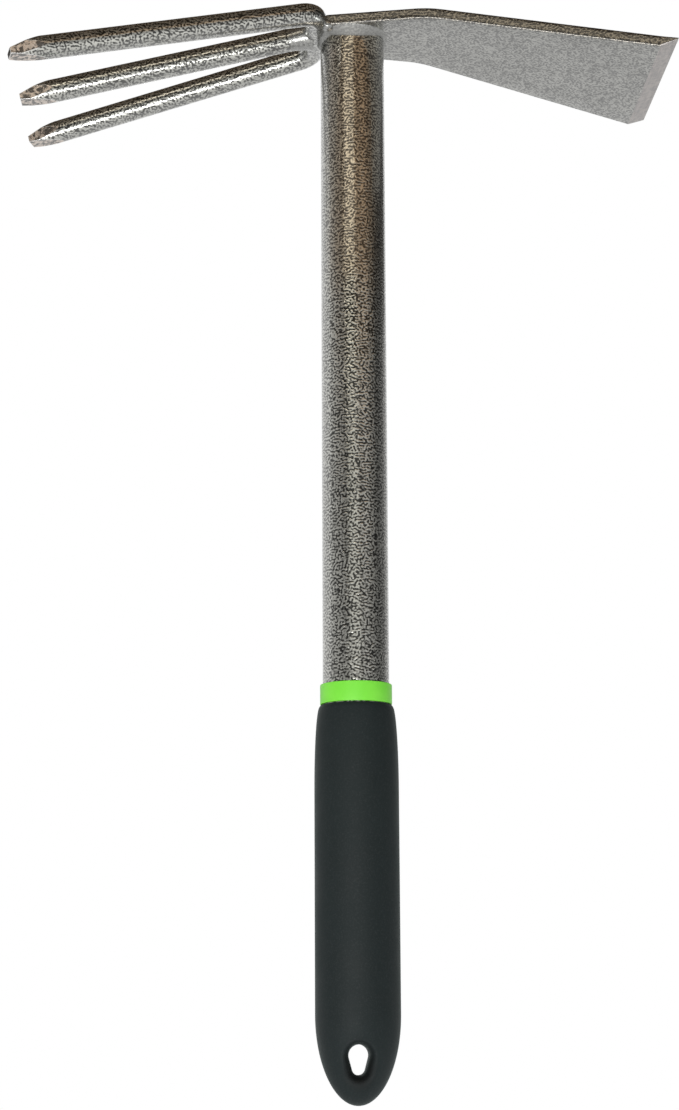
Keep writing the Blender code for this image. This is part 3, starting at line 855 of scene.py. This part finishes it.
def grip_face(bm, face_side):
    """One face of the grip's rounded end, dished round the hang hole. Gives its rings from the hole out."""
    border = patch_border()
    rings = []
    for layer in range(GRIP_LAYERS + 1):
        share = (layer / GRIP_LAYERS) ** GRIP_LAYER_POWER
        ring = []
        for corners, border_turn, border_z in border:
            hole_x, hole_z = hole_point(math.radians(135 - 90 * corners))
            hole_turn = math.asin(hole_x / grip_radius(hole_z))
            turn = hole_turn + (border_turn - hole_turn) * share
            z = hole_z + (border_z - hole_z) * share
            radius = grip_radius(z)
            x = radius * math.sin(turn)
            ring.append(bm.verts.new((x, face_side * dished_depth(x, z, radius * math.cos(turn)), z)))
        rings.append(ring)
    join_rings(bm, rings)
    return rings


def grip_outline():
    """Radius and height of the grip's rings, from its rounded end over the shoulder and down its bore."""
    start = grip_side_z(1.0)
    shoulder = GRIP_HIGH.z - GRIP_SHOULDER
    lip_z = GRIP_HIGH.z - GRIP_LIP_ROUND
    bore = TUBE_RADIUS + SNUG
    outline = []
    for step in range(GRIP_BODY_STEPS):
        outline.append((GRIP_HIGH.x, start + (shoulder - start) * step / GRIP_BODY_STEPS))
    for step in range(GRIP_SHOULDER_STEPS + 1):
        part = 1 - math.cos(math.pi / 2 * (GRIP_SHOULDER_STEPS - step) / GRIP_SHOULDER_STEPS)
        swell = math.sqrt(1 - (1 - part) ** 2)
        radius = GRIP_LIP_RADIUS + (GRIP_HIGH.x - GRIP_LIP_RADIUS) * swell
        outline.append((radius, lip_z - (GRIP_SHOULDER - GRIP_LIP_ROUND) * part))
    for radius, z in quarter((GRIP_LIP_RADIUS - GRIP_LIP_ROUND, lip_z), GRIP_LIP_ROUND, 0)[1:]:
        outline.append((radius, 2 * lip_z - z))
    return outline + [(bore, GRIP_HIGH.z), (bore, TUBE_LOW.z - SNUG)]


def grip_piece(rubber):
    """Rubber sleeve with a swelling shoulder, a rounded end and a dished hang hole."""
    bm = bmesh.new()
    near = grip_face(bm, -1)
    far = grip_face(bm, 1)
    wall = [near[0]]
    for step in range(1, HOLE_WALL_STEPS):
        share = step / HOLE_WALL_STEPS
        wall.append([bm.verts.new(a.co.lerp(b.co, share)) for a, b in zip(near[0], far[0])])
    join_rings(bm, wall + [far[0]])
    turns = [math.pi * step / GRIP_COLUMNS for step in range(2 * GRIP_COLUMNS)]
    rings = []
    for radius, z in grip_outline():
        rings.append([bm.verts.new((-radius * math.cos(t), -radius * math.sin(t), z)) for t in turns])
    join_rings(bm, rings)
    bm.faces.new(rings[-1])
    bmesh.ops.remove_doubles(bm, verts=bm.verts, dist=ONE_POINT)
    bottom = [e for e in bm.edges if e.is_boundary]
    bmesh.ops.holes_fill(bm, edges=bottom, sides=0)
    add_piece("rubber_grip", bm, [rubber], "grip_cover", sharp=70.0)


# Stage, light and camera

def stage_card(name, centre, facing, width, height, colour):
    """A flat card that stands around the object and is not part of it."""
    bm = bmesh.new()
    bmesh.ops.create_grid(bm, x_segments=1, y_segments=1, size=0.5)
    mesh = bpy.data.meshes.new(name)
    bm.to_mesh(mesh)
    bm.free()
    card = bpy.data.objects.new(name, mesh)
    card.scale = (width, height, 1.0)
    card.location = centre
    card.rotation_euler = Vector(facing).to_track_quat("Z", "Y").to_euler()
    bpy.context.scene.collection.objects.link(card)
    material, tree, shader = new_material(name)
    shade = noise(tree, object_place(tree), 3.0)
    low = tuple(channel * 0.97 for channel in colour)
    tree.links.new(blend_colour(tree, shade, low, colour), shader.inputs["Base Color"])
    shader.inputs["Roughness"].default_value = 0.9
    shader.inputs["Specular IOR Level"].default_value = 0.0
    mesh.materials.append(material)
    return card, tree, shader


def shown_rays(tree):
    """1 for camera, glossy and transmission rays, and 0 for the rest."""
    path = add_node(tree, "ShaderNodeLightPath")
    seen = calculate(tree, "MAXIMUM", path.outputs["Is Camera Ray"], path.outputs["Is Glossy Ray"])
    return calculate(tree, "MAXIMUM", seen, path.outputs["Is Transmission Ray"])


def make_floor():
    """A pale floor well below the tool, lifted towards white where it is seen."""
    place = UP * (GRIP_LOW.z - FLOOR_DROP)
    _, tree, shader = stage_card("floor", place, UP, FLOOR_SIZE, FLOOR_SIZE, FLOOR_COLOUR)
    glow = add_node(tree, "ShaderNodeEmission", {"Strength": 1.0})
    share = calculate(tree, "MULTIPLY", shown_rays(tree), FLOOR_GLOW)
    mixed = add_node(tree, "ShaderNodeMixShader", {0: share, 1: shader.outputs[0], 2: glow.outputs[0]})
    output = [node for node in tree.nodes if node.type == "OUTPUT_MATERIAL"][0]
    tree.links.new(mixed.outputs[0], output.inputs["Surface"])


def make_world():
    """White where it is seen, and a soft even light on the rest."""
    world = bpy.data.worlds.new("studio")
    bpy.context.scene.world = world
    world.use_nodes = True
    tree = world.node_tree
    background = tree.nodes["Background"]
    background.inputs["Color"].default_value = (1.0, 1.0, 1.0, 1.0)
    strength = ramp(tree, shown_rays(tree), 0.0, 1.0, WORLD_LIGHT, 1.0)
    tree.links.new(strength, background.inputs["Strength"])


def soft_lamp(name, place, target, width, height, radiance, colour):
    """An area lamp with a given brightness as it is seen in a mirror."""
    lamp = bpy.data.lights.new(name, "AREA")
    lamp.shape = "RECTANGLE"
    lamp.size = width
    lamp.size_y = height
    lamp.energy = radiance * math.pi * width * height
    lamp.color = colour
    made = bpy.data.objects.new(name, lamp)
    made.location = place
    made.rotation_euler = (Vector(target) - Vector(place)).to_track_quat("-Z", "Y").to_euler()
    made.visible_camera = False
    bpy.context.scene.collection.objects.link(made)


def make_cards():
    """Cards that the metal mirrors: a brown one overhead, and a wall round the front, brown above grey.

    The brown is deepest in the middle of the wall.
    """
    above = stage_card("card_above", CARD_ABOVE_PLACE, (0, 0, -1), *CARD_ABOVE_SIZE, CARD_ABOVE_COLOUR)
    cards = [above]
    width = 2 * WALL_OVERLAP * WALL_RADIUS * math.tan(math.radians(WALL_STEP / 2))
    for index, (cool, brown) in enumerate(WALL_TONES):
        turn = math.radians(WALL_START + WALL_STEP * index)
        outward = Vector((math.sin(turn), -math.cos(turn), 0))
        low_place = outward * WALL_RADIUS + UP * (WALL_SPLIT - WALL_BELOW / 2)
        high_place = outward * WALL_RADIUS + UP * (WALL_SPLIT + WALL_ABOVE / 2)
        depth = math.sin(math.pi * (index + 0.5) / len(WALL_TONES))
        warm = (brown, brown * (1 - BROWN_GREEN_LOSS * depth), brown * (1 - BROWN_BLUE_LOSS * depth))
        even = (cool, cool, cool)
        cards.append(stage_card(f"card_low_{index}", low_place, -outward, width, WALL_BELOW, even))
        cards.append(stage_card(f"card_high_{index}", high_place, -outward, width, WALL_ABOVE, warm))
    for card, _, _ in cards:
        card.visible_camera = False
        card.visible_diffuse = False
        card.visible_shadow = False


def make_camera():
    """The photograph's viewpoint."""
    sin_pitch = math.sin(CAMERA_PITCH)
    cos_pitch = math.cos(CAMERA_PITCH)
    forward = Vector((math.sin(CAMERA_YAW) * cos_pitch, math.cos(CAMERA_YAW) * cos_pitch, sin_pitch))
    level = Vector((math.cos(CAMERA_YAW), -math.sin(CAMERA_YAW), 0))
    rise = level.cross(forward)
    right = math.cos(CAMERA_ROLL) * level + math.sin(CAMERA_ROLL) * rise
    top = math.cos(CAMERA_ROLL) * rise - math.sin(CAMERA_ROLL) * level
    lens = bpy.data.cameras.new("camera")
    lens.lens = LENS
    lens.sensor_width = SENSOR
    lens.clip_start = 0.01
    camera = bpy.data.objects.new("camera", lens)
    rotation = Matrix((right, top, -forward)).transposed()
    camera.matrix_world = Matrix.Translation(CAMERA_PLACE) @ rotation.to_4x4()
    bpy.context.scene.collection.objects.link(camera)
    bpy.context.scene.camera = camera


def make_tool():
    """Every piece of the tool, in its own paint, steel, plastic or rubber."""
    rod_paint = hammered_paint("hammered_paint_rod", (0.55, 1.0), 0.31, relief=0.065 * MM, coat=0.85)
    # The plate's upright edges take a far lower shade than its underside: painted shade, with the painted
    # warm reflection on them too
    plate_paint = hammered_paint(
        "hammered_paint_plate", (0.32, 0.88), 0.265, shades=(1.0, 0.34), warm_reflection_from=WARM_REFLECTION_FROM
    )
    # A lighter, less metallic copy of the paint for the plate's top: painted light against the dark card
    # above
    lit_top_paint = hammered_paint("hammered_paint_top_painted_light", (0.6, 0.6), 0.55, shades=(1.5, 1.5), metallic=0.6)
    tube_paint = hammered_paint(
        "hammered_paint_tube", (0.55, 1.0), 0.32, coat=0.45, warm_reflection_from=WARM_REFLECTION_FROM
    )
    fillet_paint = hammered_paint("hammered_paint_fillet", (0.06, 0.20), 0.335, roughness=0.62, coat=0.0)
    weld_paint = hammered_paint("hammered_paint_weld", (0.10, 0.35), 0.33)
    edge_steel = ground_steel("ground_steel_edge", mottling=0.12)
    tip_steel = ground_steel("ground_steel_tip", mottling=0.8, coat=0.8)
    cut_steel = ground_steel(
        "cut_steel", mottling=0.2, dark=(0.05, 0.048, 0.045), pale=(0.13, 0.125, 0.12), glance=0.1
    )
    # Bright steel on the tines' eased edges: worn bare, and bright enough to paint the white highlight line
    # along them
    worn_and_highlight_steel = ground_steel("worn_and_highlight_steel", coat=1.0, dark=(0.55, 0.54, 0.52), pale=(0.86, 0.85, 0.83))
    tine_materials = [rod_paint, tip_steel, cut_steel, worn_and_highlight_steel]
    tube_piece(tube_paint)
    plate_piece([plate_paint, edge_steel, lit_top_paint])
    outer_tines_piece(tine_materials)
    middle_tine_piece(tine_materials)
    tube_weld_piece(fillet_paint)
    crossbar_weld_pieces(weld_paint)
    tine_weld_piece(weld_paint)
    collar_piece(green_plastic())
    grip_piece(dark_rubber())


make_camera()
make_tool()
make_floor()
make_world()
make_cards()
for lamp_row in LAMPS:
    soft_lamp(*lamp_row)
bpy.context.scene.view_settings.view_transform = "Standard"
